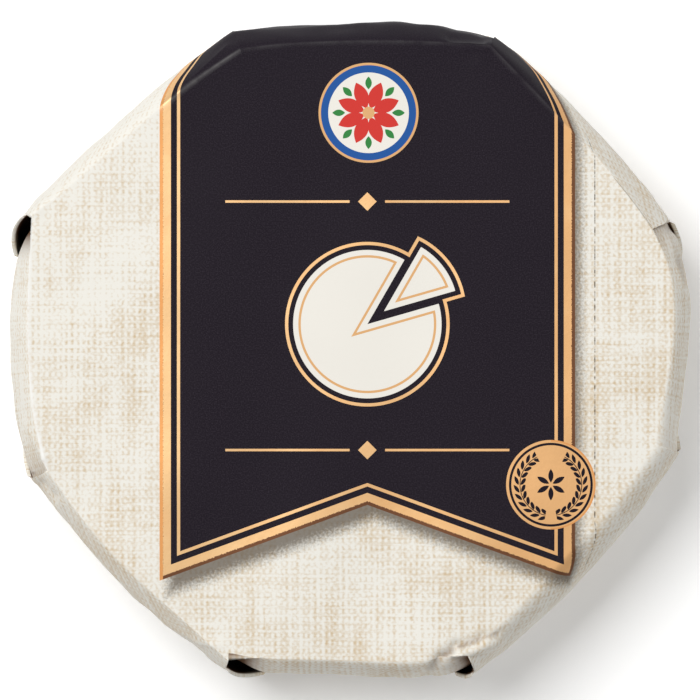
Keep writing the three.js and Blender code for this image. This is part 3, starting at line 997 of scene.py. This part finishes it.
def coated_paper(scene):
    """Coated wrapping paper, offset printed: smooth and slightly shiny, with a linen ground, a black banner
    that catches soft streaks of light, and gold ink with a dull metal sheen."""
    name = "coated_printed_paper"
    if name in bpy.data.materials:
        return bpy.data.materials[name]
    material = bpy.data.materials.new(name)
    material.use_nodes = True
    tree = material.node_tree
    tree.nodes.clear()
    sizes = scene.brie_print
    colours = scene.brie_colours
    place = sheet_place(tree)
    colour = linen_colour(tree, place, scene)

    edge = banner_distance(tree, place, sizes)
    cast = banner_distance(tree, place, sizes, right=SHADE_RIGHT, down=SHADE_DOWN)
    grain = noise_field(tree, place, (SHADE_CELLS, SHADE_CELLS), 0.25, 0.75)
    uneven = add(tree, "Math", {0: grain, 1: SHADE_GRAIN, 2: cast}, operation="MULTIPLY_ADD")
    fade = {0: uneven, 1: SHADE_FROM, 2: SHADE_TO, 3: SHADE_DEPTH, 4: 0.0}
    shade = add(tree, "MapRange", fade, interpolation_type="SMOOTHSTEP")
    shade = any_of(tree, [shade, stitch_mask(tree, place)])
    colour = add(tree, "Mix", {0: shade, 1: colour, 2: [*colours.shade, 1]}, data_type="RGBA")

    speck = noise_field(tree, place, (BLACK_SPECK, BLACK_SPECK), 0.45, 0.9)
    blacks = {0: speck, 1: [*colours.black, 1], 2: [*colours.black_speck, 1]}
    black = add(tree, "Mix", blacks, data_type="RGBA")
    inside = add(tree, "Math", {0: edge, 1: 0.0}, operation="LESS_THAN")
    colour = add(tree, "Mix", {0: inside, 1: colour, 2: black}, data_type="RGBA")

    band, line = millimetres(sizes.band), millimetres(sizes.line)
    line_middle = band + millimetres(sizes.gap) + line / 2
    on_band = add(tree, "Math", {0: edge, 1: -band / 2, 2: band / 2}, operation="COMPARE")
    on_line = add(tree, "Math", {0: edge, 1: -line_middle, 2: line / 2}, operation="COMPARE")
    wheel = wheel_distance(tree, place)
    outline = add(tree, "Math", {0: wheel, 1: OUTLINE_OUT, 2: line / 2}, operation="COMPARE")
    rules = [rule_mask(tree, place, up) for up in RULES_UP]
    disc, disc_edge, dark = seal_masks(tree, place, millimetres(sizes.seal))
    gold = any_of(tree, [on_band, on_line, outline, *rules, disc])
    ink = gold_colour(tree, place, edge, scene)
    colour = add(tree, "Mix", {0: gold, 1: colour, 2: ink}, data_type="RGBA")
    plain = add(tree, "Mix", {0: disc, 1: colour, 2: [*colours.gold, 1]}, data_type="RGBA")
    colour = add(tree, "Mix", {0: disc_edge, 1: plain, 2: [*colours.orange, 1]}, data_type="RGBA")

    face = add(tree, "Math", {0: wheel, 1: 0.0}, operation="LESS_THAN")
    rind = add(tree, "Math", {0: wheel, 1: -RIND_IN, 2: RULE_THICKNESS / 2}, operation="COMPARE")
    colour = add(tree, "Mix", {0: face, 1: colour, 2: [*colours.ivory, 1]}, data_type="RGBA")
    colour = add(tree, "Mix", {0: rind, 1: colour, 2: [*colours.gold, 1]}, data_type="RGBA")
    colour = add(tree, "Mix", {0: dark, 1: colour, 2: [*colours.black, 1]}, data_type="RGBA")
    colour = rosette_colour(tree, place, colour, scene)

    # Rubbed wear and a painted highlight: the rim folds are whitened in patches.
    worn = add(tree, "Attribute", attribute_name=WEAR_AND_HIGHLIGHT)
    patchy = noise_field(tree, place, (RUBBED_CELLS, RUBBED_CELLS), 0.2, 0.6)
    lit_and_rubbed = add(tree, "Math", {0: worn.outputs["Fac"], 1: patchy}, operation="MULTIPLY")
    colour = add(tree, "Mix", {0: lit_and_rubbed, 1: colour, 2: [*colours.lit_and_rubbed, 1]}, data_type="RGBA")

    # Painted shade: the brown hollow colour is laid in pockets and hollows where the light hardly reaches.
    painted_shade = add(tree, "Attribute", attribute_name=PAINTED_SHADE).outputs["Fac"]
    shade_amount = add(tree, "MapRange", {0: painted_shade, 1: 0.0, 2: FULL_PAINTED_SHADE})
    colour = add(tree, "Mix", {0: shade_amount, 1: colour, 2: [*colours.painted_hollow_shade, 1]}, data_type="RGBA")

    crinkle = noise_field(tree, place, (CRINKLE_CELLS, CRINKLE_CELLS), 0.0, 1.0, detail=4.0)
    raised = {"Height": crinkle, "Strength": CRINKLE_STRENGTH, "Distance": CRINKLE_HEIGHT * MM}
    bump = add(tree, "Bump", raised)
    rough = add(tree, "Mix", {0: inside, 1: PAPER_ROUGH, 2: BLACK_ROUGH}, data_type="FLOAT")
    metal = add(tree, "Math", {0: gold, 1: GOLD_METAL}, operation="MULTIPLY")
    links = {
        "Base Color": colour,
        "Roughness": rough,
        "Metallic": metal,
        "Normal": bump,
        "Specular IOR Level": SHEEN,
    }
    surface = add(tree, "BsdfPrincipled", links)
    add(tree, "OutputMaterial", {"Surface": surface})
    return material


def pale_floor(look):
    """White studio board lit from below: an even pale ground on which shadows stay faint."""
    material = bpy.data.materials.new("lit_white_board")
    material.use_nodes = True
    surface = material.node_tree.nodes["Principled BSDF"]
    surface.inputs["Base Color"].default_value = [*look.floor, 1]
    surface.inputs["Roughness"].default_value = FLOOR_ROUGH
    surface.inputs["Emission Color"].default_value = [*look.floor, 1]
    surface.inputs["Emission Strength"].default_value = look.glow
    return material


def add_area_light(name, place, power, size):
    """A square soft light at a place, aimed at the round."""
    bpy.ops.object.light_add(type="AREA", location=place)
    light = bpy.context.object
    light.name = name
    light.data.energy = power
    light.data.size = size
    light.rotation_mode = "QUATERNION"
    light.rotation_quaternion = light.location.to_track_quat("Z", "Y")
    return light


class BRIE_OT_stage(bpy.types.Operator):
    """Makes the floor, the lights and the camera"""

    bl_idname = "brie.stage"
    bl_label = "Stage"

    def execute(self, context):
        scene = context.scene
        look = scene.brie_stage
        bpy.ops.object.select_all(action="DESELECT")
        bpy.ops.mesh.primitive_plane_add(size=FLOOR_SIZE, location=(0, 0, 0))
        floor = context.object
        floor.name = "floor"
        floor.data.materials.append(pale_floor(look))
        add_area_light("key_light", KEY_PLACE, look.key, KEY_SIZE)
        add_area_light("fill_light", FILL_PLACE, look.fill, FILL_SIZE)
        world = bpy.data.worlds.new("studio")
        scene.world = world
        world.use_nodes = True
        world.node_tree.nodes["Background"].inputs["Color"].default_value = (1, 1, 1, 1)
        world.node_tree.nodes["Background"].inputs["Strength"].default_value = look.sky
        scene.view_settings.view_transform = "Standard"

        camera_data = bpy.data.cameras.new("camera")
        camera_data.lens = LENS
        camera_data.sensor_width = SENSOR
        camera = bpy.data.objects.new("camera", camera_data)
        scene.collection.objects.link(camera)
        waist = scene.brie_sizes.waist
        camera.location = (0, 0, waist + look.width * LENS / SENSOR)
        scene.camera = camera
        return {"FINISHED"}


class BRIE_PT_sidebar(bpy.types.Panel):
    """Lists the makers of the wrapped brie's pieces"""

    bl_idname = "BRIE_PT_sidebar"
    bl_label = "Paper-wrapped brie"
    bl_space_type = "VIEW_3D"
    bl_region_type = "UI"
    bl_category = "Brie"

    def draw(self, context):
        for maker in MAKERS:
            self.layout.operator(maker.bl_idname)
        for group in GROUPS:
            settings = getattr(context.scene, group)
            for name in settings.bl_rna.properties.keys():
                if name not in ("rna_type", "name"):
                    self.layout.prop(settings, name)


MAKERS = (BRIE_OT_paper_wrap, BRIE_OT_corner_flaps, BRIE_OT_stage)
GROUPS = {
    "brie_sizes": WrapSizes,
    "brie_print": PrintSizes,
    "brie_colours": PrintColours,
    "brie_stage": StageLook,
}
CLASSES = (*GROUPS.values(), *MAKERS, BRIE_PT_sidebar)


def register():
    for cls in CLASSES:
        bpy.utils.register_class(cls)
    for name, group in GROUPS.items():
        setattr(bpy.types.Scene, name, bpy.props.PointerProperty(type=group))


def unregister():
    for name in GROUPS:
        delattr(bpy.types.Scene, name)
    for cls in reversed(CLASSES):
        bpy.utils.unregister_class(cls)


def main():
    register()
    bpy.ops.brie.paper_wrap()
    bpy.ops.brie.corner_flaps()
    bpy.ops.brie.stage()


if __name__ == "__main__":
    main()
